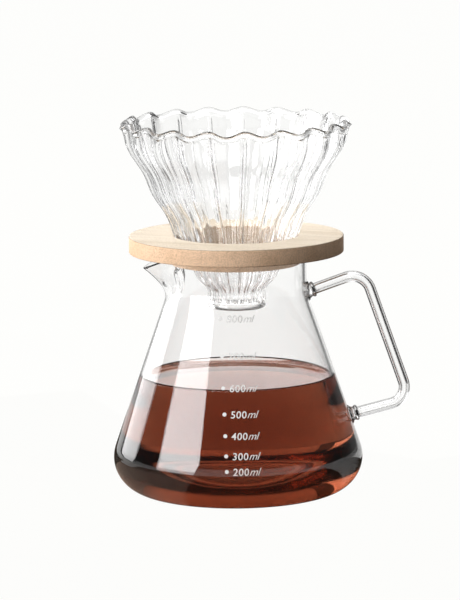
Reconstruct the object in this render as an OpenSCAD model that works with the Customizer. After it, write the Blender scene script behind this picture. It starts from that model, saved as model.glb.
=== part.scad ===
// Pour-over coffee maker: a fluted glass dripper in a beech collar on a graduated glass carafe.
// Origin at the centre of the carafe's flat base. +Z is up, +X towards the handle, -X towards
// the spout, and the volume scale faces -Y. All sizes are in millimetres.

/* [Carafe] */
// Radius of the flat that the carafe stands on
base_flat_r = 46.5; // [44:0.5:50]
// Radius of the round corner between the base and the wall
base_round = 18; // [15:1:20]
// Lean of the conical wall from upright, in degrees
wall_lean = 19; // [18:0.25:19.5]
// Height of the crease between the cone and the neck
neck_z = 103; // [100:0.5:105]
// Height of the rim
rim_z = 125; // [124:0.5:128]
// Thickness of the blown wall
glass_t = 2; // [1.6:0.1:2.4]
// Thickness of the glass under the coffee
floor_t = 3; // [2.6:0.1:4]

/* [Spout] */
// Distance from the axis to the tip of the spout
spout_reach = 49; // [46:0.5:52]
// Height of the tip
spout_tip_z = 117; // [115:0.5:119]
// Half of the angle that the spout takes up of the neck, in degrees
spout_half_angle = 30; // [26:1:34]

/* [Handle] */
// Outer diameter of the glass tube
tube_d = 5.8; // [5:0.1:7]
// Diameter of the tube's bore
tube_bore_d = 3; // [2:0.1:3.6]
// Bend radius of the tube's centreline at the top corner
top_bend_r = 10; // [8:0.5:12]
// Bend radius of the tube's centreline at the bottom corner
low_bend_r = 9; // [8:0.5:12]

/* [Collar] */
// Radius of the wooden disc
collar_r = 55.3; // [50:0.1:58]
// Thickness of the wooden disc
collar_t = 8.6; // [7:0.1:12]
// Radius of the spigot that drops into the neck
spigot_r = 32.7; // [31:0.1:33.5]
// Height of the spigot
spigot_h = 6; // [4:0.5:9]
// Rounding of the disc's edges
collar_round = 0.8; // [0.3:0.1:1.5]

/* [Dripper] */
// Height of the dripper's outlet above the table
outlet_z = 96; // [95:0.5:100]
// Overall height of the dripper, to the crests of its rim
dripper_h = 97.6; // [95:0.2:101]
// Radius of the tail below the cone
tail_r = 14.8; // [13:0.1:16]
// Mean radius of the outside where it passes the top of the collar
seat_r = 31.1; // [30:0.1:31.5]
// Outward run of the cone for each millimetre of height
cone_run = 0.514; // [0.5:0.002:0.53]
// Number of moulded flutes
flutes = 19; // [12:1:24]
// Depth of the flutes, from their mean, at the rim
rim_wave = 1.15; // [0.5:0.05:1.4]
// Rise and fall of the rim's edge from its mean height
rim_lift = 1.2; // [0.4:0.1:1.8]
// Thickness of the pressed wall
dripper_t = 2.2; // [1.8:0.1:2.8]

/* [Scale] */
// Diameter of the dot beside each volume
dot_d = 2; // [1.4:0.1:3]
// Height of the figures
figure_h = 3.7; // [3:0.1:5]
// Thickness of the fired enamel
enamel_t = 0.2; // [0.15:0.05:0.4]

/* [Hidden] */
$fn = 96;

glass = [0.86, 0.91, 0.9, 0.5];
beech = [0.88, 0.76, 0.62];
enamel = [0.97, 0.97, 0.96];

// ---- shared ----
function unit(v) = v / norm(v);
// Direction of a vector in the x-z plane, in degrees
function heading(v) = atan2(v[1], v[0]);
function smooth(t) = let (c = max(0, min(1, t))) c * c * (3 - 2 * c);

// Closed skin through a list of rings of points, whose last ring joins the first
module skin_of(rings) {
    around = len(rings[0]);
    count = len(rings);
    faces = [
        for (k = [0:count - 1])
            for (i = [0:around - 1])
                let (j = (i + 1) % around)
                let (a = k * around)
                let (b = ((k + 1) % count) * around)
                for (corner = [[a + i, b + i, b + j], [a + i, b + j, a + j]])
                    corner
    ];
    polyhedron(points = [for (r = rings) each r], faces = faces);
}

// ---- carafe wall ----
// Where the round corner runs into the cone
tangent_r = base_flat_r + base_round * cos(wall_lean);
tangent_z = base_round + base_round * sin(wall_lean);

// Outside radius of the cone at height z
function cone_r(z) = tangent_r - (z - tangent_z) * tan(wall_lean);

neck_r = cone_r(neck_z);

// Section of the carafe filled solid, inset from its outside, with its floor at floor_z
module carafe_section(inset, floor_z, top) {
    // The corner's centre rises by lift, so that floor and wall can differ in thickness
    lift = (floor_z - inset) / (1 + sin(wall_lean));
    corner_r = base_round - inset - lift * sin(wall_lean);
    corner_z = base_round + lift;
    crease_drop = inset * (1 / cos(wall_lean) - 1) / tan(wall_lean);
    translate([base_flat_r, corner_z]) circle(corner_r);
    polygon([
        [0, floor_z],
        [base_flat_r, floor_z],
        [base_flat_r + corner_r * cos(wall_lean), corner_z + corner_r * sin(wall_lean)],
        [neck_r - inset, neck_z - crease_drop],
        [neck_r - inset, top],
        [0, top],
    ]);
}

// ---- spout ----
spout_foot_z = neck_z - 2;
spout_foot_r = 1;
spout_run = (spout_reach - neck_r - spout_foot_r) / (spout_tip_z - spout_foot_z);
// Where the sloping rim of the spout leaves the level rim of the neck
spout_root_x = neck_r * cos(spout_half_angle);
spout_slope = atan((rim_z - spout_tip_z) / (spout_reach - spout_root_x));

// Cone standing on the neck wall, inset from the spout's outside
module spout_cone(inset, top) {
    foot_z = spout_foot_z + inset * sqrt(1 + pow(spout_run, 2)) / spout_run;
    translate([-neck_r, 0, foot_z])
        cylinder(h = top - foot_z, r1 = spout_foot_r, r2 = spout_foot_r + (top - foot_z) * spout_run);
}

// Everything above the sloping rim of the spout
module above_spout_rim() {
    cut = 60;
    translate([-spout_root_x, 0, rim_z])
        rotate([0, -spout_slope, 0])
            translate([-cut, -cut / 2, 0])
                cube([cut, cut, cut]);
}

module carafe_body() {
    color(glass) difference() {
        union() {
            rotate_extrude() carafe_section(0, 0, rim_z);
            spout_cone(0, rim_z);
        }
        rotate_extrude() carafe_section(glass_t, floor_t, rim_z + 1);
        spout_cone(glass_t, rim_z + 1);
        above_spout_rim();
    }
}

// ---- handle ----
// Corners of the tube's centreline, as [x, z]
weld_top = [36.5, 103.8];
corner_top = [65.6, 114.2];
corner_low = [89, 47];
weld_low = [58.4, 39.1];
bead_reach = 4;

arm_top = unit(corner_top - weld_top);
arm_low = unit(corner_low - weld_low);
tube_start = weld_top + arm_top * bead_reach;
tube_end = weld_low + arm_low * bead_reach;
bend_steps = 9;

// Points of a round bend at the corner p of the path a-p-b, each as [x, z, heading]
function bend(a, p, b, r) =
    let (from = heading(p - a))
    let (angle = (heading(b - p) - from + 540) % 360 - 180)
    let (start = p - unit(p - a) * r * tan(abs(angle) / 2))
    let (side = sign(angle))
    let (centre = start + side * r * [-sin(from), cos(from)])
    [
        for (i = [0:bend_steps])
            let (h = from + angle * i / bend_steps)
            [centre[0] + side * r * sin(h), centre[1] - side * r * cos(h), h]
    ];

tube_route = concat(
    [[tube_start[0], tube_start[1], heading(arm_top)]],
    bend(weld_top, corner_top, corner_low, top_bend_r),
    bend(corner_top, corner_low, weld_low, low_bend_r),
    [[tube_end[0], tube_end[1], heading(-arm_low)]]
);

// Ring of radius r across the tube at one point of its route
function tube_ring(at, r, around) = [
    for (i = [0:around - 1])
        let (a = 360 * i / around)
        [at[0] - r * cos(a) * sin(at[2]), r * sin(a), at[1] + r * cos(a) * cos(at[2])]
];

module carafe_handle() {
    around = 24;
    last = len(tube_route) - 1;
    color(glass) skin_of(concat(
        [for (at = tube_route) tube_ring(at, tube_d / 2, around)],
        [for (i = [last:-1:0]) tube_ring(tube_route[i], tube_bore_d / 2, around)]
    ));
}

// Round bar or cone between two points of the x-z plane
module bar(a, b, d1, d2) {
    translate([a[0], 0, a[1]])
        rotate([0, 90 - heading(b - a), 0])
            cylinder(h = norm(b - a), d1 = d1, d2 = d2);
}

// Bead of glass that fuses one end of the tube to the wall
module weld_bead(weld, arm, foot_d) {
    ring_d = tube_d + 2;
    depth = 8;
    color(glass) difference() {
        union() {
            bar(weld - arm * depth, weld + arm * bead_reach, ring_d, ring_d);
            bar(weld - arm * depth, weld + arm * 2, foot_d + depth, ring_d);
        }
        rotate_extrude() carafe_section(0, 0, rim_z);
    }
}

module upper_weld_bead() weld_bead(weld_top, arm_top, 9);

module lower_weld_bead() weld_bead(weld_low, arm_low, 9);

// ---- dripper ----
collar_top_z = rim_z + collar_t;
// Mean height of the rim
dripper_top_z = outlet_z + dripper_h - rim_lift;
shoulder_z = outlet_z + 7.5;
shoulder_h = 8.5;
rim_band_h = 10.4;
ripple = 0.6;
ripple_pitch = 22;
tail_wave = 0.3;
// Height of the plain ring under the flutes
plain_ring_h = 4.5;
// Stretch below the rim over which the rise and fall of its edge dies away
lift_reach = 14;
// Where one of the ribs between the flutes runs
rib_azimuth = -85;

// Straight outside line of the cone, without its ripple
function cone_line(z) = seat_r + (z - collar_top_z) * cone_run;
function rippled(z) = cone_line(z) + ripple * (cos(360 * (z - collar_top_z) / ripple_pitch) - 0.5);
// Mean outside radius: tail, shoulder, rippled cone, then an upright band that flares at the rim
function mean_r(z) =
    let (band_z = dripper_top_z - rim_band_h)
    z > band_z
        ? rippled(band_z) + 0.16 * (z - band_z) + 1.6 * pow(max(0, (z - band_z - 4) / 6.4), 2)
        : tail_r + (rippled(z) - tail_r) * smooth((z - shoulder_z) / shoulder_h);
// Depth of the flute wave, from nothing at the plain ring to its full height at the rim
function wave(z) =
    (tail_wave + (rim_wave - tail_wave) * max(0, z - shoulder_z) / (dripper_top_z - shoulder_z))
        * smooth((z - outlet_z - plain_ring_h + 1) / 2);
// Horizontal thickness of the leaning wall
skin = dripper_t * sqrt(1 + pow(cone_run, 2));

// One ring of points around the wall, moved inwards by inset: it runs inwards and upwards at the ribs
function ring(z, inset, count) =
    let (lift = rim_lift * smooth(1 - (dripper_top_z - z) / lift_reach))
    [
        for (i = [0:count - 1])
            let (a = rib_azimuth + 360 * i / count)
            let (rib = cos(flutes * (a - rib_azimuth)))
            let (r = mean_r(z) - inset - wave(z) * rib)
            [r * cos(a), r * sin(a), z + lift * rib]
    ];

module glass_dripper() {
    around = flutes * 4;
    steps = 20;
    lip = 0.6;
    lip_z = dripper_top_z - lip;
    heights = [for (i = [0:steps]) outlet_z + (lip_z - outlet_z) * i / steps];
    // Up the outside, over the rounded lip, and down the inside
    color(glass) skin_of(concat(
        [for (z = heights) ring(z, 0, around)],
        [ring(dripper_top_z, lip, around), ring(dripper_top_z, skin - lip, around)],
        [for (i = [steps:-1:0]) ring(heights[i], skin, around)]
    ));
}

// ---- collar ----
seat_gap = 0.3;
hole_ease = ripple / 2 + wave(collar_top_z) + seat_gap;

module collar_section() {
    edge_r = collar_r - collar_round;
    translate([0, rim_z]) square([edge_r, collar_t]);
    translate([0, rim_z + collar_round]) square([collar_r, collar_t - 2 * collar_round]);
    for (z = [rim_z + collar_round, collar_top_z - collar_round])
        translate([edge_r, z]) circle(collar_round);
    translate([0, rim_z - spigot_h]) square([spigot_r, spigot_h + 1]);
}

module wooden_collar() {
    foot_z = rim_z - spigot_h - 1;
    ease_z = collar_top_z - collar_round;
    color(beech) rotate_extrude() difference() {
        collar_section();
        polygon([
            [0, foot_z],
            [cone_line(foot_z) + hole_ease, foot_z],
            [cone_line(ease_z) + hole_ease, ease_z],
            [cone_line(collar_top_z) + hole_ease + collar_round, collar_top_z + 0.01],
            [0, collar_top_z + 0.01],
        ]);
    }
}

// ---- volume scale ----
// Strokes of a figure on a grid 2 wide and 4 high, as [x0, z0, x1, z1]
stroke_top = [0, 4, 2, 4];
stroke_mid = [0, 2, 2, 2];
stroke_low = [0, 0, 2, 0];
stroke_left_up = [0, 2, 0, 4];
stroke_left_low = [0, 0, 0, 2];
stroke_right_up = [2, 2, 2, 4];
stroke_right_low = [2, 0, 2, 2];
FIGURES = [
    [stroke_top, stroke_low, stroke_left_up, stroke_left_low, stroke_right_up, stroke_right_low],
    [stroke_right_up, stroke_right_low],
    [stroke_top, stroke_mid, stroke_low, stroke_right_up, stroke_left_low],
    [stroke_top, stroke_mid, stroke_low, stroke_right_up, stroke_right_low],
    [stroke_mid, stroke_left_up, stroke_right_up, stroke_right_low],
    [stroke_top, stroke_mid, stroke_low, stroke_left_up, stroke_right_low],
    [stroke_top, stroke_mid, stroke_low, stroke_left_up, stroke_left_low, stroke_right_low],
    [stroke_top, stroke_right_up, stroke_right_low],
    [stroke_top, stroke_mid, stroke_low, stroke_left_up, stroke_left_low, stroke_right_up, stroke_right_low],
];

figure_pitch = figure_h * 0.76;
stroke_t = 0.5;

module figure(digit) {
    grid = (figure_h - stroke_t) / 4;
    for (s = FIGURES[digit])
        translate([s[0] * grid, s[1] * grid])
            square([(s[2] - s[0]) * grid + stroke_t, (s[3] - s[1]) * grid + stroke_t]);
}

// Dot and figures of one volume, fired onto the wall at height z
module volume_mark(hundreds, z) {
    // The dots stand nearer the middle low on the carafe, where the wall is wider
    dot_x = -5.8 - 2.6 * (z - 22) / 74;
    color(enamel) difference() {
        intersection() {
            translate([0, -base_flat_r / 2, 0])
                rotate([90, 0, 0])
                    linear_extrude(base_flat_r) {
                        translate([dot_x, z]) circle(d = dot_d);
                        for (i = [0:2])
                            translate([dot_x + 3.2 + i * figure_pitch, z - 0.6])
                                figure(i == 0 ? hundreds : 0);
                    }
            rotate_extrude() carafe_section(-enamel_t, -enamel_t, rim_z);
        }
        rotate_extrude() carafe_section(0, 0, rim_z);
    }
}

module mark_200ml() volume_mark(2, 22.2);

module mark_300ml() volume_mark(3, 29.7);

module mark_400ml() volume_mark(4, 39.4);

module mark_500ml() volume_mark(5, 49.8);

module mark_600ml() volume_mark(6, 62.5);

module mark_700ml() volume_mark(7, 77.9);

module mark_800ml() volume_mark(8, 96.1);

glass_dripper();
wooden_collar();
carafe_body();
carafe_handle();
upper_weld_bead();
lower_weld_bead();
mark_200ml();
mark_300ml();
mark_400ml();
mark_500ml();
mark_600ml();
mark_700ml();
mark_800ml();
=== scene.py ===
"""Looks of the pour-over coffee maker: glass, beech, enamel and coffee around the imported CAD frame."""

import math

import bmesh
import bpy
from mathutils import Matrix, Vector


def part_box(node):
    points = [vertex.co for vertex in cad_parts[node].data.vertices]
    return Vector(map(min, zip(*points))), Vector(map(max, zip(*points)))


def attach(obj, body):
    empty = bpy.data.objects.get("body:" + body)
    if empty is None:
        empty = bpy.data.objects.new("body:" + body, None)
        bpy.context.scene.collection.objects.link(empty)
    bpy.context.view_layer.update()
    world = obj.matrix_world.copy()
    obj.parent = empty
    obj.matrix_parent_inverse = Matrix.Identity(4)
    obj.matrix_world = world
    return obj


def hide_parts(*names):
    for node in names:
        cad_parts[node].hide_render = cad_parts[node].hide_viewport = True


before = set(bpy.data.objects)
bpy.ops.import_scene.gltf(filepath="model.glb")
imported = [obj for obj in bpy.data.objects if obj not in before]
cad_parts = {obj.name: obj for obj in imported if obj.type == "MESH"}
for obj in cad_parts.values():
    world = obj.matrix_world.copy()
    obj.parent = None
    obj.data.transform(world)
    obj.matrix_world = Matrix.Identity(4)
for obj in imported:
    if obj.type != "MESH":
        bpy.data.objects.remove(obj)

MM = 0.001
TAU = 2 * math.pi
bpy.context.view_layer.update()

# ---------------------------------------------------------------- sizes read from the frame, in metres
_carafe_low, carafe_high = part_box("carafe_body")
collar_low, collar_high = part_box("wooden_collar")
dripper_low, dripper_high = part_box("glass_dripper")
_handle_low, handle_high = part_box("carafe_handle")

BELLY_R = carafe_high.x
RIM_Z = carafe_high.z
COLLAR_R = collar_high.x
COLLAR_TOP = collar_high.z
SPIGOT_Z = collar_low.z
OUTLET_Z = dripper_low.z
DRIPPER_TOP = dripper_high.z
TUBE_R = handle_high.y

# Proportions of the carafe's wall
CORNER_R = 18 * MM
BASE_R = BELLY_R - CORNER_R
LEAN = math.radians(19)
NECK_Z = 103 * MM
GLASS_T = 2 * MM
FLOOR_T = 3 * MM
TANGENT_R = BASE_R + CORNER_R * math.cos(LEAN)
TANGENT_Z = CORNER_R + CORNER_R * math.sin(LEAN)
NECK_R = TANGENT_R - (NECK_Z - TANGENT_Z) * math.tan(LEAN)

# Level of the coffee, and how far it creeps up the wall
COFFEE_Z = 58.6 * MM
CREEP = 2.7 * MM

# The tube's corners in the x-z plane, and its bend radii
WELD_TOP = Vector((36.5, 0, 103.8)) * MM
CORNER_TOP = Vector((65.6, 0, 114.2)) * MM
CORNER_LOW = Vector((89, 0, 47)) * MM
WELD_LOW = Vector((58.4, 0, 39.1)) * MM
TOP_BEND_R = 10 * MM
LOW_BEND_R = 9 * MM

# Heights of the volume marks, in millimetres
MARK_Z = {200: 22.2, 300: 29.7, 400: 39.4, 500: 49.8, 600: 62.5, 700: 77.9, 800: 96.1}
# The dots stand on a line between two places, as (sideways, height): nearer the middle low on the
# carafe, where the wall is wider
LOW_DOT = (-5.8 * MM, 22 * MM)
HIGH_DOT = (-8.4 * MM, 96 * MM)


def smooth(t):
    """Ease from 0 to 1 as t goes from 0 to 1."""
    t = min(max(t, 0.0), 1.0)
    return t * t * (3 - 2 * t)


# ---------------------------------------------------------------- meshes
def mesh_piece(name, points, faces, material, body, replaced=()):
    """A smooth-shaded mesh that rides on a body and stands for CAD nodes."""
    mesh = bpy.data.meshes.new(name)
    mesh.from_pydata([tuple(p) for p in points], [], faces)
    outward = bmesh.new()
    outward.from_mesh(mesh)
    bmesh.ops.recalc_face_normals(outward, faces=outward.faces)
    outward.to_mesh(mesh)
    outward.free()
    mesh.polygons.foreach_set("use_smooth", [True] * len(mesh.polygons))
    mesh.update()
    piece = bpy.data.objects.new(name, mesh)
    bpy.context.scene.collection.objects.link(piece)
    mesh.materials.append(material)
    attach(piece, body)
    if replaced:
        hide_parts(*replaced)
    return piece


def skin_faces(rings, around, closed):
    """Quads between neighbouring rings of points; closed joins the last ring to the first."""
    faces = []
    for k in range(rings if closed else rings - 1):
        a, b = k * around, (k + 1) % rings * around
        for i in range(around):
            j = (i + 1) % around
            faces.append((a + i, a + j, b + j, b + i))
    return faces


def lathe(profile, around, shape=None):
    """Points and faces of an outline of (radius, height) turned round Z.

    An outline that starts and ends on the axis is closed with a fan at each end, and any other is
    closed by joining its last ring to its first. shape(azimuth, radius, height, ...) may move a point,
    and is given whatever else the outline holds for it.
    """
    on_axis = profile[0][0] == 0
    outline = profile[1:-1] if on_axis else profile
    points = []
    for spot in outline:
        for i in range(around):
            azimuth = TAU * i / around
            r, z = shape(azimuth, *spot) if shape else spot
            points.append((r * math.cos(azimuth), r * math.sin(azimuth), z))
    faces = skin_faces(len(outline), around, closed=not on_axis)
    if on_axis:
        first, last = len(points), len(points) + 1
        points += [(0, 0, profile[0][1]), (0, 0, profile[-1][1])]
        top = (len(outline) - 1) * around
        for i in range(around):
            j = (i + 1) % around
            faces.append((first, j, i))
            faces.append((last, top + i, top + j))
    return points, faces


def arc(centre, radius, start, end, steps):
    """Points along an arc in the (radius, height) plane, angles in radians."""
    return [
        (
            centre[0] + radius * math.cos(start + (end - start) * i / steps),
            centre[1] + radius * math.sin(start + (end - start) * i / steps),
        )
        for i in range(steps + 1)
    ]


def line(a, b, steps):
    """Points from a to just before b."""
    return [(a[0] + (b[0] - a[0]) * i / steps, a[1] + (b[1] - a[1]) * i / steps) for i in range(steps)]


def eased_corner(a, corner, b, steps):
    """Points from a to just before b on the curve that runs along the corner's two sides at its ends."""
    curve = []
    for i in range(steps):
        t = i / steps
        curve.append(
            tuple((1 - t) ** 2 * p + 2 * t * (1 - t) * q + t * t * s for p, q, s in zip(a, corner, b))
        )
    return curve


# ---------------------------------------------------------------- shape of the carafe
# Half of the angle that the spout takes up, and how much of it the fold in its middle rounds off
SPOUT_HALF = math.radians(34)
SPOUT_ROUND = math.radians(2)
SPOUT_FOOT_Z = 101.5 * MM
# How far the spout's tip stands out from the neck, and how far it dips below the rim
SPOUT_REACH = 12.5 * MM
SPOUT_DROP = 8 * MM
# Dimples beside the spout: how far round from its middle, and their height, depth and half sizes
DIMPLE_AZIMUTH = math.radians(29)
DIMPLE_Z = 110.5 * MM
DIMPLE_DEPTH = 2.2 * MM
DIMPLE_HALF_ANGLE = math.radians(6)
DIMPLE_HALF_HEIGHT = 4.5 * MM
# Rings pressed into the underside, as (radius, depth)
BASE_RINGS = [(BASE_R - 2 * MM, 2 * MM), (BASE_R - 8 * MM, 1.2 * MM)]
RING_HALF = 1.8 * MM
# The crease under the neck is a short curve that reaches this far to either side
CREASE_EASE = 7 * MM


def spout_weight(side):
    """1 in the middle of the spout, falling to 0 where it meets the neck, as a rounded V."""
    off = math.hypot(side, SPOUT_ROUND) - SPOUT_ROUND
    return max(0.0, 1 - off / SPOUT_HALF) ** 2


def shape_neck(azimuth, r, z):
    """Pulls the spout out of the neck, lowers its rim, and pinches a dimple beside it."""
    if z <= SPOUT_FOOT_Z:
        return r, z
    side = (azimuth + TAU) % TAU - math.pi
    weight = spout_weight(side)
    up = (z - SPOUT_FOOT_Z) / (RIM_Z - SPOUT_FOOT_Z)
    r += SPOUT_REACH * weight * up**1.65
    z -= SPOUT_DROP * weight**0.8 * up
    across = (abs(side) - DIMPLE_AZIMUTH) / DIMPLE_HALF_ANGLE
    along = (z - DIMPLE_Z) / DIMPLE_HALF_HEIGHT
    r -= DIMPLE_DEPTH * math.exp(-across * across - along * along)
    return r, z


def wall_inset(inset, floor_z):
    """Corner of the base, as (centre, radius), for a wall inset from the outside and a floor at floor_z."""
    lift = (floor_z - inset) / (1 + math.sin(LEAN))
    return (BASE_R, CORNER_R + lift), CORNER_R - inset - lift * math.sin(LEAN)


def wall_profile(inset, floor_z, top):
    """Outline from the axis along the floor, round the corner and up the wall to top."""
    centre, corner = wall_inset(inset, floor_z)
    corner_arc = arc(centre, corner, -math.pi / 2, LEAN, 28)
    crease_z = NECK_Z - inset * (1 / math.cos(LEAN) - 1) / math.tan(LEAN)
    crease = (NECK_R - inset, crease_z)
    below = (crease[0] + CREASE_EASE * math.sin(LEAN), crease[1] - CREASE_EASE * math.cos(LEAN))
    above = (crease[0], crease[1] + CREASE_EASE)
    return (
        line((0, floor_z), (BASE_R, floor_z), 12)
        + corner_arc[:-1]
        + line(corner_arc[-1], below, 44)
        + eased_corner(below, crease, above, 8)
        + line(above, (crease[0], top), 22)
        + [(crease[0], top)]
    )


def groove(r):
    """Height of the underside at radius r, lifted where a ring is pressed into it."""
    return sum(depth * smooth(1 - abs(r - ring_r) / RING_HALF) for ring_r, depth in BASE_RINGS)


def carafe_outline():
    """Outside of the carafe, over its rounded rim, and back down the inside to the axis."""
    lip = GLASS_T / 2
    base = [(r, groove(r)) for r, _z in line((0, 0), (BASE_R, 0), 240)]
    outside = base + [p for p in wall_profile(0, 0, RIM_Z - lip) if p[0] >= BASE_R or p[1] > 0]
    inside = wall_profile(GLASS_T, FLOOR_T, RIM_Z - lip)
    rim = arc((NECK_R - lip, RIM_Z - lip), lip, 0, math.pi, 8)[1:-1]
    return outside + rim + inside[::-1]


def wall_radius(z):
    """Outside radius of the carafe at height z."""
    if z < TANGENT_Z:
        return BASE_R + math.sqrt(max(CORNER_R**2 - (CORNER_R - z) ** 2, 0))
    return max(TANGENT_R - (z - TANGENT_Z) * math.tan(LEAN), NECK_R)


def wall_normal(z):
    """Outward direction of the wall at height z, as (radial, upward)."""
    if z < TANGENT_Z:
        return (wall_radius(z) - BASE_R) / CORNER_R, (z - CORNER_R) / CORNER_R
    if z < NECK_Z:
        return math.cos(LEAN), math.sin(LEAN)
    return 1.0, 0.0


# ---------------------------------------------------------------- shape of the dripper
FLUTES = 19
RIB_AZIMUTH = math.radians(-85)
RIM_LIFT = 1.2 * MM
LIFT_REACH = 14 * MM
DRIPPER_T = 2.2 * MM
CONE_RUN = 0.514
SEAT_R = 31.1 * MM
TAIL_R = 14.8 * MM
RIM_MEAN_Z = DRIPPER_TOP - RIM_LIFT
BAND_H = 10.4 * MM
BAND_Z = RIM_MEAN_Z - BAND_H
SHOULDER_Z = OUTLET_Z + 7.5 * MM
SHOULDER_H = 8.5 * MM
# The tail's lowest stretch is a plain ring
PLAIN_RING_Z = OUTLET_Z + 4 * MM
# Slow ripple of the cone from its foot to the band
RIPPLE = 0.6 * MM
RIPPLE_PITCH = 22 * MM
# The band under the rim runs outwards this much for each metre of height, and then flares by RIM_FLARE
BAND_RUN = 0.16
RIM_FLARE = 1.6 * MM
# Depth of the flutes from their mean, at the tail and at the rim
TAIL_WAVE = 0.3 * MM
RIM_WAVE = 1.15 * MM
# Ribs on the inside: one between every two flutes, and three fine ones to each flute
RIB_H = 0.9 * MM
RIB_HALF = 1.9 * MM
FINE_RIB_H = 0.14 * MM


def dripper_mean(z):
    """Mean outside radius of the dripper at height z."""

    def rippled(height):
        wave = math.cos(TAU * (height - COLLAR_TOP) / RIPPLE_PITCH) - 0.5
        return SEAT_R + (height - COLLAR_TOP) * CONE_RUN + RIPPLE * wave

    if z > BAND_Z:
        upright = 4 * MM
        flare = max(0.0, (z - BAND_Z - upright) / (BAND_H - upright))
        return rippled(BAND_Z) + BAND_RUN * (z - BAND_Z) + RIM_FLARE * flare**2
    return TAIL_R + (rippled(z) - TAIL_R) * smooth((z - SHOULDER_Z) / SHOULDER_H)


def flute_depth(z):
    """Depth of the flutes from their mean at height z."""
    up = max(0.0, (z - SHOULDER_Z) / (RIM_MEAN_Z - SHOULDER_Z))
    depth = TAIL_WAVE + (RIM_WAVE - TAIL_WAVE) * up
    return depth * smooth((z - PLAIN_RING_Z + 0.5 * MM) / (2 * MM))


def shape_flutes(azimuth, r, z, ribbed):
    """Flutes that bulge between ribs; ribbed is 1 on the inside, where the ribs stand out, and 0 outside.

    Towards the rim the main ribs grow wider and higher, and the fine ones die away.
    """
    phase = FLUTES * (azimuth - RIB_AZIMUTH)
    wave = math.cos(phase)
    up = smooth((r / BELLY_R - 0.2) / 0.5)
    from_rib = abs((phase + math.pi) % TAU - math.pi) / FLUTES * r
    half = RIB_HALF * (0.45 + 0.55 * r / BELLY_R)
    above_ring = z - PLAIN_RING_Z
    ridge = RIB_H * (0.45 + 0.55 * up) * smooth(1 - from_rib / half) * smooth(above_ring / (0.6 * MM))
    fine = FINE_RIB_H * (1 - 0.75 * up) * math.cos(3 * phase) * smooth(above_ring / (0.5 * MM))
    lift = RIM_LIFT * smooth(1 - (RIM_MEAN_Z - z) / LIFT_REACH)
    return r - flute_depth(z) * wave - ribbed * (ridge + fine), z + lift * wave


def dripper_outline():
    """Up the outside, over the rounded lip, and down the inside."""
    lip = DRIPPER_T / 2
    skin = DRIPPER_T * math.hypot(1, CONE_RUN)
    steps = 130
    foot = OUTLET_Z + lip
    top = RIM_MEAN_Z - lip
    heights = [foot + (top - foot) * i / steps for i in range(steps + 1)]

    def bead(from_edge):
        """An edge swells into a thin bead beside a shallow dip, on both sides of the wall."""
        half = 0.6 * MM
        swell = math.exp(-((from_edge / half) ** 2))
        dip = math.exp(-(((from_edge - 1.5 * MM) / half) ** 2))
        return (0.25 * swell - 0.3 * dip) * MM

    def edge_bead(z):
        return bead(top - z) + bead(z - foot)

    rib_fade = 5 * MM
    outside = [(dripper_mean(z) + edge_bead(z), z, 0) for z in heights]
    inside = [
        (dripper_mean(z) - skin - edge_bead(z), z, smooth((top - z) / rib_fade)) for z in heights[::-1]
    ]

    def rounded(z, upwards):
        """Half-round edge between the two sides of the wall at height z."""
        spokes = arc((0, 0), 1, 0, math.pi, 10)[1:-1]
        middle = dripper_mean(z) - skin / 2
        return [(middle + x * upwards * skin / 2, z + y * upwards * lip, 0) for x, y in spokes]

    return outside + rounded(top, 1) + inside + rounded(foot, -1)


# ---------------------------------------------------------------- shape of the handle
def bend(a, p, b, radius, steps=14):
    """Points round the corner p of the path a-p-b."""
    before, after = (p - a).normalized(), (b - p).normalized()
    angle = before.angle(after)
    start = p - before * radius * math.tan(angle / 2)
    axis = before.cross(after).normalized()
    centre = start + axis.cross(before) * radius
    spoke = start - centre
    return [centre + Matrix.Rotation(angle * i / steps, 3, axis) @ spoke for i in range(steps + 1)]


def tube_route():
    """Centreline of the tube from the neck to the lower wall."""
    return (
        [WELD_TOP + (CORNER_TOP - WELD_TOP).normalized() * 2.5 * MM]
        + bend(WELD_TOP, CORNER_TOP, CORNER_LOW, TOP_BEND_R)
        + bend(CORNER_TOP, CORNER_LOW, WELD_LOW, LOW_BEND_R)
        + [WELD_LOW + (CORNER_LOW - WELD_LOW).normalized() * 2.5 * MM]
    )


def refine(route, step):
    """The route with points no further than step apart."""
    fine = []
    for a, b in zip(route, route[1:]):
        count = max(1, math.ceil((b - a).length / step))
        fine += [a.lerp(b, i / count) for i in range(count)]
    return fine + [route[-1]]


def sweep(route, radius_at, around):
    """Rings of points round a route in the x-z plane; radius_at(distance, length) gives each radius."""
    distance = [0.0]
    for a, b in zip(route, route[1:]):
        distance.append(distance[-1] + (b - a).length)
    rings = []
    for k, p in enumerate(route):
        ahead = route[min(k + 1, len(route) - 1)] - route[max(k - 1, 0)]
        side = Vector((-ahead.z, 0, ahead.x)).normalized()
        radius = radius_at(distance[k], distance[-1])
        for i in range(around):
            a = TAU * i / around
            rings.append(p + radius * (math.cos(a) * side + math.sin(a) * Vector((0, 1, 0))))
    return rings


# ---------------------------------------------------------------- materials
def new_material(name):
    material = bpy.data.materials.new(name)
    material.use_nodes = True
    nodes = material.node_tree.nodes
    return material, nodes, material.node_tree.links, nodes["Principled BSDF"]


def add(nodes, kind, **values):
    """A node of that kind, with its named inputs set."""
    node = nodes.new(kind)
    for key, value in values.items():
        node.inputs[key.replace("_", " ")].default_value = value
    return node


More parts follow.
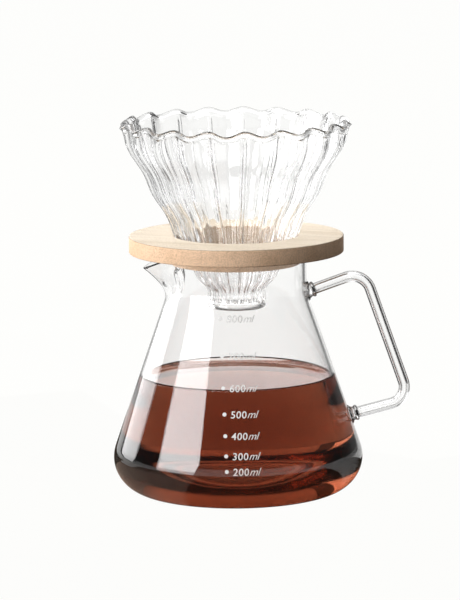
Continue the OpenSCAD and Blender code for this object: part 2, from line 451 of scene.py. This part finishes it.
def tint_edges(nodes, links, shader, edge, shade, lips=()):
    """Paints shade into clear colour, from white to shade, where the surface turns away from the eye:
    painted grey and dark lines along edges seen edge on.

    edge holds how far it has turned, from 0 to 1, where the painted shade starts and where it is full. Each
    band of painted shade is (start, end, boost): from one height to the other, boost is added to how far
    it has turned, so painted shade darkens a band round the part there.
    """
    turned = add(nodes, "ShaderNodeLayerWeight", Blend=0.5).outputs["Facing"]
    spot = nodes.new("ShaderNodeSeparateXYZ")
    links.new(nodes.new("ShaderNodeTexCoord").outputs["Object"], spot.inputs["Vector"])
    for start, end, boost in lips:
        near = add(nodes, "ShaderNodeMapRange", **{"From Min": start, "From Max": end, "To Max": boost})
        links.new(spot.outputs["Z"], near.inputs["Value"])
        both = nodes.new("ShaderNodeMath")
        links.new(turned, both.inputs[0])
        links.new(near.outputs["Result"], both.inputs[1])
        turned = both.outputs["Value"]
    edge_shade_ramp = nodes.new("ShaderNodeValToRGB")
    for element, position, level in zip(edge_shade_ramp.color_ramp.elements, edge, (1, shade)):
        element.position = position
        element.color = (level, level, level, 1)
    links.new(turned, edge_shade_ramp.inputs["Fac"])
    links.new(edge_shade_ramp.outputs["Color"], shader.inputs["Base Color"])


def glass_material(name, ior, ripple_scale, ripple_height, stretch, **edges):
    """Clear glass with slow waves in its surface, and painted grey shade where it is seen edge on."""
    material, nodes, links, shader = new_material(name)
    tint_edges(nodes, links, shader, **edges)
    shader.inputs["Transmission Weight"].default_value = 1
    shader.inputs["IOR"].default_value = ior
    shader.inputs["Roughness"].default_value = 0
    place = nodes.new("ShaderNodeTexCoord")
    scaled = add(nodes, "ShaderNodeMapping", Scale=stretch)
    links.new(place.outputs["Object"], scaled.inputs["Vector"])
    waves = add(nodes, "ShaderNodeTexNoise", Scale=ripple_scale, Detail=2, Roughness=0.4)
    links.new(scaled.outputs["Vector"], waves.inputs["Vector"])
    bump = add(nodes, "ShaderNodeBump", Strength=1, Distance=ripple_height)
    links.new(waves.outputs["Fac"], bump.inputs["Height"])
    links.new(bump.outputs["Normal"], shader.inputs["Normal"])
    let_lamps_through(nodes, links, shader, 0.9)
    return material


def let_lamps_through(nodes, links, shader, share):
    """Clear things cast a faint shadow only: rays from lamps pass straight through."""
    open_way = nodes.new("ShaderNodeBsdfTransparent")
    open_way.inputs["Color"].default_value = (share, share, share, 1)
    path = nodes.new("ShaderNodeLightPath")
    choice = nodes.new("ShaderNodeMixShader")
    links.new(path.outputs["Is Shadow Ray"], choice.inputs["Fac"])
    links.new(shader.outputs["BSDF"], choice.inputs[1])
    links.new(open_way.outputs["BSDF"], choice.inputs[2])
    links.new(choice.outputs["Shader"], nodes["Material Output"].inputs["Surface"])


def coffee_material():
    """Clear brown liquid: the colour is in its volume, so it deepens with its thickness; painted shade
    darkens it near black where it is seen edge on, and in a band round the crest where it climbs the glass.
    """
    material, nodes, links, shader = new_material("coffee")
    # Painted shade: a dark line round the crest of the coffee where it climbs the glass
    painted_crest_shade = [(COFFEE_Z + CREEP - 0.9 * MM, COFFEE_Z + CREEP - 0.4 * MM, 0.9)]
    tint_edges(nodes, links, shader, edge=(0.86, 1), shade=0.03, lips=painted_crest_shade)
    shader.inputs["Transmission Weight"].default_value = 1
    shader.inputs["IOR"].default_value = 1.333
    shader.inputs["Roughness"].default_value = 0
    volume = nodes.new("ShaderNodeVolumeAbsorption")
    volume.inputs["Color"].default_value = (0.593, 0.231, 0.03, 1)
    volume.inputs["Density"].default_value = 41
    links.new(volume.outputs["Volume"], nodes["Material Output"].inputs["Volume"])
    return material


def beech_material():
    """Pale beech with faint streaks and fine specks; the level face and the upright side take separate
    tones fitted to how the light falls on each, the face's whiter hue a painted highlight, and the wall of
    the hole is darkened with painted shade.
    """
    material, nodes, links, shader = new_material("beech")
    place = nodes.new("ShaderNodeTexCoord")
    turned = add(nodes, "ShaderNodeMapping", Rotation=(0, 0, math.radians(24)))
    links.new(place.outputs["Object"], turned.inputs["Vector"])

    def streaks(scale, stretch, detail):
        squeezed = add(nodes, "ShaderNodeMapping", Scale=stretch)
        links.new(turned.outputs["Vector"], squeezed.inputs["Vector"])
        noise = add(nodes, "ShaderNodeTexNoise", Scale=scale, Detail=detail, Roughness=0.6)
        links.new(squeezed.outputs["Vector"], noise.inputs["Vector"])
        return noise.outputs["Fac"]

    def tone(source, dark, light):
        ramp = nodes.new("ShaderNodeValToRGB")
        ramp.color_ramp.elements[0].position = 0.36
        ramp.color_ramp.elements[0].color = (*dark, 1)
        ramp.color_ramp.elements[1].position = 0.64
        ramp.color_ramp.elements[1].color = (*light, 1)
        links.new(source, ramp.inputs["Fac"])
        return ramp.outputs["Color"]

    def level(source, start, end, low, high):
        ends = {"From Min": start, "From Max": end, "To Min": low, "To Max": high}
        shift = add(nodes, "ShaderNodeMapRange", **ends)
        links.new(source, shift.inputs["Value"])
        return shift.outputs["Result"]

    def scaled(colour, amount):
        product = nodes.new("ShaderNodeVectorMath")
        product.operation = "SCALE"
        links.new(colour, product.inputs[0])
        links.new(amount, product.inputs["Scale"])
        return product.outputs["Vector"]

    bands = streaks(70, (0.1, 1, 0.6), 3)
    fibres = streaks(800, (0.04, 1, 1), 4)
    specks = streaks(1900, (0.7, 1, 1), 2)
    face = tone(bands, (0.5, 0.42, 0.32), (0.62, 0.545, 0.45))
    side = tone(bands, (0.72, 0.49, 0.32), (0.83, 0.59, 0.41))

    # The side stands upright, the wall of the hole leans outwards a little, and the face lies level; the
    # tilt picks each one's tone, with a painted highlight on the face and painted shade on the hole's wall
    normal = nodes.new("ShaderNodeSeparateXYZ")
    links.new(place.outputs["Normal"], normal.inputs["Vector"])
    surface = nodes.new("ShaderNodeMix")
    surface.data_type = "RGBA"
    links.new(level(normal.outputs["Z"], 0.4, 0.9, 0, 1), surface.inputs["Factor"])
    # Painted shade: the side's tone falls to 0.36 on the leaning wall of the hole
    links.new(scaled(side, level(normal.outputs["Z"], 0.15, 0.4, 1, 0.36)), surface.inputs["A"])
    links.new(face, surface.inputs["B"])

    shade = nodes.new("ShaderNodeMath")
    shade.operation = "MULTIPLY"
    links.new(level(fibres, 0.35, 0.65, 0.93, 1.03), shade.inputs[0])
    links.new(level(specks, 0.42, 0.62, 1.07, 0.78), shade.inputs[1])
    links.new(scaled(surface.outputs["Result"], shade.outputs["Value"]), shader.inputs["Base Color"])

    shader.inputs["Roughness"].default_value = 0.7
    shader.inputs["Specular IOR Level"].default_value = 0.05
    bump = add(nodes, "ShaderNodeBump", Strength=0.3, Distance=0.1 * MM)
    links.new(shade.outputs["Value"], bump.inputs["Height"])
    links.new(bump.outputs["Normal"], shader.inputs["Normal"])
    return material


def enamel_material():
    """White fired enamel, slightly uneven where it was screened on."""
    material, nodes, links, shader = new_material("scale_enamel")
    place = nodes.new("ShaderNodeTexCoord")
    grain = add(nodes, "ShaderNodeTexNoise", Scale=2500, Detail=3)
    links.new(place.outputs["Object"], grain.inputs["Vector"])
    tone = nodes.new("ShaderNodeValToRGB")
    tone.color_ramp.elements[0].color = (0.7, 0.7, 0.69, 1)
    tone.color_ramp.elements[1].color = (0.82, 0.82, 0.81, 1)
    links.new(grain.outputs["Fac"], tone.inputs["Fac"])
    links.new(tone.outputs["Color"], shader.inputs["Base Color"])
    shader.inputs["Roughness"].default_value = 0.35
    return material


# edge and shade set where each glass gets painted grey shade as it turns edge on, and how dark it gets
carafe_glass = glass_material(
    "carafe_glass",
    ior=1.47,
    ripple_scale=14,
    ripple_height=0.25 * MM,
    stretch=(1, 1, 0.6),
    edge=(0.8, 0.97),
    shade=0.4,
)
tube_glass = glass_material(
    "tube_glass",
    ior=1.47,
    ripple_scale=20,
    ripple_height=0.1 * MM,
    stretch=(1, 1, 1),
    edge=(0.05, 0.5),
    shade=0.25,
)
dripper_glass = glass_material(
    "dripper_glass",
    ior=1.5,
    ripple_scale=30,
    ripple_height=0.05 * MM,
    stretch=(1, 1, 0.3),
    edge=(0.45, 0.92),
    shade=0.25,
    # Painted shade: darker bands round the top of the rim and round the outlet
    lips=[
        (DRIPPER_TOP - 5 * MM, DRIPPER_TOP - 3.5 * MM, 0.32),
        (OUTLET_Z + 2 * MM, OUTLET_Z + 1 * MM, 0.8),
    ],
)
coffee_liquid = coffee_material()
beech = beech_material()
enamel = enamel_material()


# ---------------------------------------------------------------- pieces
def make_carafe():
    points, faces = lathe(carafe_outline(), 288, shape_neck)
    return mesh_piece("carafe", points, faces, carafe_glass, "carafe", ["carafe_body"])


def make_coffee():
    """Coffee that reaches a hair into the glass, so no film of air shows, and climbs its wall a little."""
    overlap = 0.3 * MM
    fade = 2.4 * MM
    inset = GLASS_T - overlap
    crest_z = COFFEE_Z + CREEP
    side = [p for p in wall_profile(inset, FLOOR_T - overlap, NECK_Z) if p[1] < crest_z]
    edge = side[-1][0] - (crest_z - side[-1][1]) * math.tan(LEAN)
    meniscus = []
    steps = 26
    reach = 16 * MM
    for i in range(steps + 1):
        away = reach * (i / steps) ** 1.6
        meniscus.append((edge - 0.5 * overlap - away, COFFEE_Z + CREEP * math.exp(-away / fade)))
    outline = side + [(edge, crest_z)] + meniscus
    outline += line(meniscus[-1], (0, COFFEE_Z), 10)[1:] + [(0, COFFEE_Z)]
    points, faces = lathe(outline, 256)
    return mesh_piece("coffee", points, faces, coffee_liquid, "carafe", ())


def make_dripper():
    points, faces = lathe(dripper_outline(), FLUTES * 32, shape_flutes)
    replaced = ["glass_dripper"]
    return mesh_piece("dripper", points, faces, dripper_glass, "dripper", replaced)


def make_collar():
    """Turned disc with eased edges, a spigot below and a conical hole a little wider than the dripper."""
    ease = 0.5 * MM
    spigot_r = 32.7 * MM
    gap = 1.17 * MM
    hole = [SEAT_R + (z - COLLAR_TOP) * CONE_RUN + gap for z in (SPIGOT_Z, COLLAR_TOP - ease)]
    outline = (
        arc((hole[1] + ease, COLLAR_TOP - ease), ease, math.pi, math.pi / 2, 6)
        + line((hole[1] + 2 * ease, COLLAR_TOP), (COLLAR_R - ease, COLLAR_TOP), 10)
        + arc((COLLAR_R - ease, COLLAR_TOP - ease), ease, math.pi / 2, 0, 6)
        + arc((COLLAR_R - ease, RIM_Z + ease), ease, 0, -math.pi / 2, 6)
        + line((COLLAR_R - 2 * ease, RIM_Z), (spigot_r, RIM_Z), 8)
        + [(spigot_r, RIM_Z)]
        + arc((spigot_r - ease, SPIGOT_Z + ease), ease, 0, -math.pi / 2, 6)
        + [(hole[0] + ease, SPIGOT_Z)]
        + line((hole[0], SPIGOT_Z + ease * 0.4), (hole[1], COLLAR_TOP - ease), 16)
    )
    points, faces = lathe(outline[::-1], 256)
    return mesh_piece("collar", points, faces, beech, "collar", ["wooden_collar"])


def make_handle():
    """Tube with a bore that ends in rounded tips short of the welds."""
    around = 64
    bore_r = 1.5 * MM
    route = refine(tube_route(), 0.6 * MM)
    tip = 4 * MM

    def outer(_distance, _length):
        return TUBE_R

    def bore(distance, length):
        end = min(distance, length - distance) / tip
        return bore_r * math.sqrt(max(1 - (1 - min(end, 1.0)) ** 2, 0.0004))

    outside = sweep(route, outer, around)
    inside = sweep(route[::-1], bore, around)
    # Running the route backwards turns its rings over, so the inner rings are mirrored back
    mirrored = []
    half = around // 2
    for start in range(0, len(inside), around):
        mirrored += [inside[start + (half - i) % around] for i in range(around)]
    points = outside + mirrored
    faces = skin_faces(len(points) // around, around, closed=True)
    return mesh_piece("handle", points, faces, tube_glass, "carafe", ["carafe_handle"])


def make_bead(name, weld, corner, replaced):
    """Fused glass between tube and wall: a ring round the tube that spreads into a pad on the wall."""
    along = (corner - weld).normalized()
    across = Vector((-along.z, 0, along.x))
    around = 56

    def wall_gap(p):
        """How far p must go along the tube to touch the outside of the wall, found by halving."""
        inside, outside = -8 * MM, 8 * MM
        for _halving in range(24):
            middle = (inside + outside) / 2
            q = p + along * middle
            if math.hypot(q.x, q.y) > wall_radius(q.z):
                outside = middle
            else:
                inside = middle
        return inside

    # Each ring's distance along the tube, its radius, and how much the wall's curve still shapes it
    pad = [(-0.3, 4.9, 1), (0.15, 4.95, 1), (0.5, 4.75, 1), (0.8, 4.3, 1)]
    waist = [(1.1, 3.9, 0.8), (1.5, 3.6, 0.45), (1.9, 3.5, 0.15)]
    swell = [(2.3, 3.75, 0), (2.8, 4.05, 0), (3.3, 4.05, 0), (3.8, 3.75, 0), (4.1, 3.3, 0), (4.2, 2.9, 0)]
    profile = pad + waist + swell
    points = []
    for out, radius, wall_share in profile:
        for i in range(around):
            a = TAU * i / around
            spoke = radius * MM * (math.cos(a) * across + math.sin(a) * Vector((0, 1, 0)))
            points.append(weld + spoke + along * (out * MM + wall_share * wall_gap(weld + spoke)))
    faces = skin_faces(len(profile), around, closed=False)
    faces.append(tuple(range(around)))
    faces.append(tuple(range((len(profile) - 1) * around, len(profile) * around)))
    return mesh_piece(name, points, faces, tube_glass, "carafe", [replaced])


def text_outline(body, size, shear, weight, spacing):
    """Flat mesh of figures or letters in Blender's own font, with its left end at the origin."""
    curve = bpy.data.curves.new("text", "FONT")
    curve.body = body
    curve.size = size
    curve.shear = shear
    curve.offset = weight
    curve.space_character = spacing
    curve.resolution_u = 6
    holder = bpy.data.objects.new("text", curve)
    bpy.context.scene.collection.objects.link(holder)
    bpy.context.view_layer.update()
    flat = bpy.data.meshes.new_from_object(holder)
    points = [Vector(v.co) for v in flat.vertices]
    faces = [tuple(p.vertices) for p in flat.polygons]
    bpy.data.objects.remove(holder)
    bpy.data.curves.remove(curve)
    bpy.data.meshes.remove(flat)
    return points, faces


def disc_outline(radius, around):
    points = []
    for i in range(around):
        a = TAU * i / around
        points.append(Vector((radius * math.cos(a), radius * math.sin(a), 0)))
    return points, [tuple(range(around))]


def on_wall(u, v, z, lift):
    """Point on the front of the carafe, u to the right and v up the wall from height z."""
    height = z + v * wall_normal(z)[0]
    radial, upward = wall_normal(height)
    radius = wall_radius(height)
    azimuth = u / wall_radius(z) - math.pi / 2
    r = radius + lift * radial
    return Vector((r * math.cos(azimuth), r * math.sin(azimuth), height + lift * upward))


def make_mark(volume):
    """The dot, figures and unit of one volume, wrapped onto the wall."""
    z = MARK_Z[volume] * MM
    climb = (z - LOW_DOT[1]) / (HIGH_DOT[1] - LOW_DOT[1])
    dot_x = LOW_DOT[0] + (HIGH_DOT[0] - LOW_DOT[0]) * climb
    baseline = -1.9 * MM
    dot = disc_outline(radius=1 * MM, around=28)
    figures = text_outline(str(volume), size=5.1 * MM, shear=0.08, weight=0.06 * MM, spacing=1.1)
    unit = text_outline("ml", size=5.4 * MM, shear=0.42, weight=0, spacing=0.95)
    parts = [
        (dot, dot_x, 0),
        (figures, dot_x + 3 * MM, baseline),
        (unit, dot_x + 11.2 * MM, baseline),
    ]
    thick = 0.18 * MM
    sunk = -0.02 * MM
    points = []
    faces = []
    for (flat, polygons), u, v in parts:
        base = len(points)
        count = len(flat)
        for lift in (thick, sunk):
            points += [on_wall(u + p.x, v + p.y, z, lift) for p in flat]
        edges = []
        for polygon in polygons:
            faces.append(tuple(base + i for i in polygon))
            faces.append(tuple(base + count + i for i in reversed(polygon)))
            edges += zip(polygon, polygon[1:] + polygon[:1])
        # An edge that no other polygon runs along the other way is on the outline, and gets a wall
        known = set(edges)
        for a, b in edges:
            if (b, a) not in known:
                faces.append((base + b, base + a, base + count + a, base + count + b))
    name = f"mark_{volume}"
    piece = mesh_piece(name, points, faces, enamel, "carafe", [f"mark_{volume}ml"])
    piece.data.polygons.foreach_set("use_smooth", [False] * len(piece.data.polygons))
    return piece


make_carafe()
make_coffee()
make_dripper()
make_collar()
make_handle()
make_bead("weld_upper", WELD_TOP, CORNER_TOP, "upper_weld_bead")
make_bead("weld_lower", WELD_LOW, CORNER_LOW, "lower_weld_bead")
for volume in MARK_Z:
    make_mark(volume)


# ---------------------------------------------------------------- studio
# The floor lies a hair below the carafe's base, and the cards on it lie between the two
FLOOR_Z = -0.3 * MM
CARD_Z = -0.1 * MM
# Colour of the brown cards that lie on the floor, for a shade of 1
CARD_TONE = (1, 0.74, 0.6)


def make_floor():
    """Plain white table that glows like a light table, so that it stays pale under the object."""
    half = 12
    corners = [(-half, -half, 0), (half, -half, 0), (half, half, 0), (-half, half, 0)]
    mesh = bpy.data.meshes.new("floor")
    mesh.from_pydata(corners, [], [(0, 1, 2, 3)])
    floor = bpy.data.objects.new("floor", mesh)
    floor.location.z = FLOOR_Z
    bpy.context.scene.collection.objects.link(floor)
    material, _nodes, _links, shader = new_material("floor")
    shader.inputs["Base Color"].default_value = (0.01, 0.01, 0.01, 1)
    shader.inputs["Roughness"].default_value = 0.9
    shader.inputs["Specular IOR Level"].default_value = 0
    shader.inputs["Emission Color"].default_value = (1, 1, 0.985, 1)
    shader.inputs["Emission Strength"].default_value = 0.98
    mesh.materials.append(material)


def add_softbox(name, azimuths, elevations, distance, radiance):
    """Rectangular area light that faces the object and fills these azimuths and elevations, in degrees.

    Azimuth 0 is towards the viewer and grows to the left.
    """
    a = math.radians(sum(azimuths) / 2)
    e = math.radians(sum(elevations) / 2)
    width = 2 * distance * math.tan(math.radians(azimuths[1] - azimuths[0]) / 2)
    height = 2 * distance * math.tan(math.radians(elevations[1] - elevations[0]) / 2)
    away = Vector((-math.sin(a) * math.cos(e), -math.cos(a) * math.cos(e), math.sin(e)))
    light = bpy.data.lights.new(name, "AREA")
    light.shape = "RECTANGLE"
    light.size = width
    light.size_y = height
    # An area light of this power looks as bright as the radiance asked for
    light.energy = radiance * width * height * math.pi
    holder = bpy.data.objects.new(name, light)
    holder.location = away * distance
    holder.rotation_mode = "QUATERNION"
    holder.rotation_quaternion = (-away).to_track_quat("-Z", "Y")
    bpy.context.scene.collection.objects.link(holder)


def add_card(name, colour, corners, faces):
    """A dark card that draws lines in the glass and is hidden from the viewer."""
    mesh = bpy.data.meshes.new(name)
    mesh.from_pydata(corners, [], faces)
    card = bpy.data.objects.new(name, mesh)
    bpy.context.scene.collection.objects.link(card)
    material, _nodes, _links, shader = new_material(name)
    shader.inputs["Base Color"].default_value = (*colour, 1)
    shader.inputs["Specular IOR Level"].default_value = 0
    mesh.materials.append(material)
    card.visible_camera = False
    return card


def add_table_card(name, shade, azimuths, radii, through_glass):
    """Card on the table round the foot of the carafe, between these azimuths in degrees and radii.

    Azimuth 0 is towards the handle and 270 is towards the viewer. The card shades the wood and shows in
    reflections; one that does not show through the glass leaves the glass clear from every side.
    """
    steps = 40
    corners = []
    for radius in radii:
        for i in range(steps + 1):
            a = math.radians(azimuths[0] + (azimuths[1] - azimuths[0]) * i / steps)
            corners.append((radius * math.cos(a), radius * math.sin(a), CARD_Z))
    faces = [(i, i + 1, steps + 2 + i, steps + 1 + i) for i in range(steps)]
    card = add_card(name, [shade * level for level in CARD_TONE], corners, faces)
    card.visible_transmission = through_glass


def add_rear_card(name, shade, left, right):
    """Card that stands behind the object, beside the part of the table seen through it."""
    back, height = 0.5, 0.5
    corners = [(left, back, 0), (right, back, 0), (right, back, height), (left, back, height)]
    add_card(name, (shade, shade, shade), corners, [(0, 1, 2, 3)])


def make_world():
    """Studio walls: a bright window straight behind the object, a bright ceiling, and dark all round them.

    Seen through glass, the front is bright too, so that the glass stays clear from behind. The camera
    itself sees plain white in every direction.
    """
    world = bpy.data.worlds.new("studio")
    bpy.context.scene.world = world
    world.use_nodes = True
    nodes = world.node_tree.nodes
    links = world.node_tree.links
    place = nodes.new("ShaderNodeTexCoord")
    split = nodes.new("ShaderNodeSeparateXYZ")
    links.new(place.outputs["Generated"], split.inputs["Vector"])
    right, back, up = (split.outputs[axis] for axis in "XYZ")
    seen = nodes.new("ShaderNodeLightPath")

    def ramp(source, start, end, amount):
        rise = add(nodes, "ShaderNodeMapRange", **{"From Min": start, "From Max": end, "To Max": amount})
        rise.interpolation_type = "SMOOTHSTEP"
        links.new(source, rise.inputs["Value"])
        return rise.outputs["Result"]

    def combine(kind, a, b):
        both = nodes.new("ShaderNodeMath")
        both.operation = kind
        for socket, value in zip(both.inputs, (a, b)):
            if isinstance(value, (int, float)):
                socket.default_value = value
            else:
                links.new(value, socket)
        return both.outputs["Value"]

    # Each ramp gives where the light starts to rise and where it is full, and how bright it is there
    dim_walls = 0.05
    aside = combine("DIVIDE", combine("ABSOLUTE", right, 0), combine("MAXIMUM", back, 0.01))
    window = combine("MULTIPLY", ramp(aside, 0.75, 0.3, 1), ramp(up, 0.36, 0.24, 1.5))
    ceiling = combine("MULTIPLY", ramp(up, 0.4, 0.52, 1), ramp(right, 0.4, 0, 1.9))
    ceiling = combine("MULTIPLY", ceiling, ramp(back, -0.2, 0.1, 1))
    front = combine("MULTIPLY", ramp(back, -0.2, -0.6, 0.9), ramp(up, 0.3, 0.2, 1))
    front = combine("MULTIPLY", front, seen.outputs["Is Transmission Ray"])
    shown = combine("MAXIMUM", window, ceiling)
    for other in (dim_walls, front, seen.outputs["Is Camera Ray"]):
        shown = combine("MAXIMUM", shown, other)
    links.new(shown, nodes["Background"].inputs["Strength"])
    nodes["Background"].inputs["Color"].default_value = (1, 1, 1, 1)


def make_camera():
    """Long lens in front of the object, a little above it and looking slightly down."""
    data = bpy.data.cameras.new("camera")
    data.sensor_width = 36
    data.lens = 238
    data.clip_start = 0.05
    data.clip_end = 30
    camera = bpy.data.objects.new("camera", data)
    camera.location = (0, -2.02, 0.43)
    aim = Vector((-3.5, 0, 99.5)) * MM
    direction = aim - camera.location
    tilt = math.radians(0.55)
    roll = Matrix.Rotation(tilt, 3, direction.normalized()).to_quaternion()
    camera.rotation_mode = "QUATERNION"
    camera.rotation_quaternion = roll @ direction.to_track_quat("-Z", "Y")
    bpy.context.scene.collection.objects.link(camera)
    bpy.context.scene.camera = camera


make_floor()
make_world()
add_softbox("key", azimuths=(40, 80), elevations=(2, 32), distance=1.4, radiance=6.4)
add_softbox("fill", azimuths=(10, 57), elevations=(40, 66), distance=1.4, radiance=5.2)
add_softbox("top", azimuths=(-150, -100), elevations=(50, 75), distance=0.4, radiance=1.6)
add_softbox("strip", azimuths=(112, 152), elevations=(2, 40), distance=1.6, radiance=4)
add_table_card("table_near", 0.06, (240, 345), (BASE_R, 0.18), through_glass=True)
add_table_card("table_near_left", 0.27, (150, 240), (BASE_R, 0.18), through_glass=True)
add_table_card("table_sheen_left", 0.05, (108, 150), (BASE_R, 0.3), through_glass=False)
add_table_card("table_sheen_right", 0.05, (345, 430), (BASE_R, 0.12), through_glass=False)
add_table_card("table_far", 0.03, (172, 345), (0.18, 8), through_glass=False)
add_table_card("table_right", 0.03, (345, 395), (0.12, 8), through_glass=False)
add_rear_card("rear_right", 0.2, left=0.24, right=1.2)
add_rear_card("rear_left", 0.3, left=-0.24, right=-0.16)
make_camera()

scene = bpy.context.scene
scene.view_settings.view_transform = "Standard"
scene.cycles.max_bounces = 32
scene.cycles.transmission_bounces = 32
scene.cycles.transparent_max_bounces = 16
scene.cycles.glossy_bounces = 8
scene.cycles.diffuse_bounces = 4
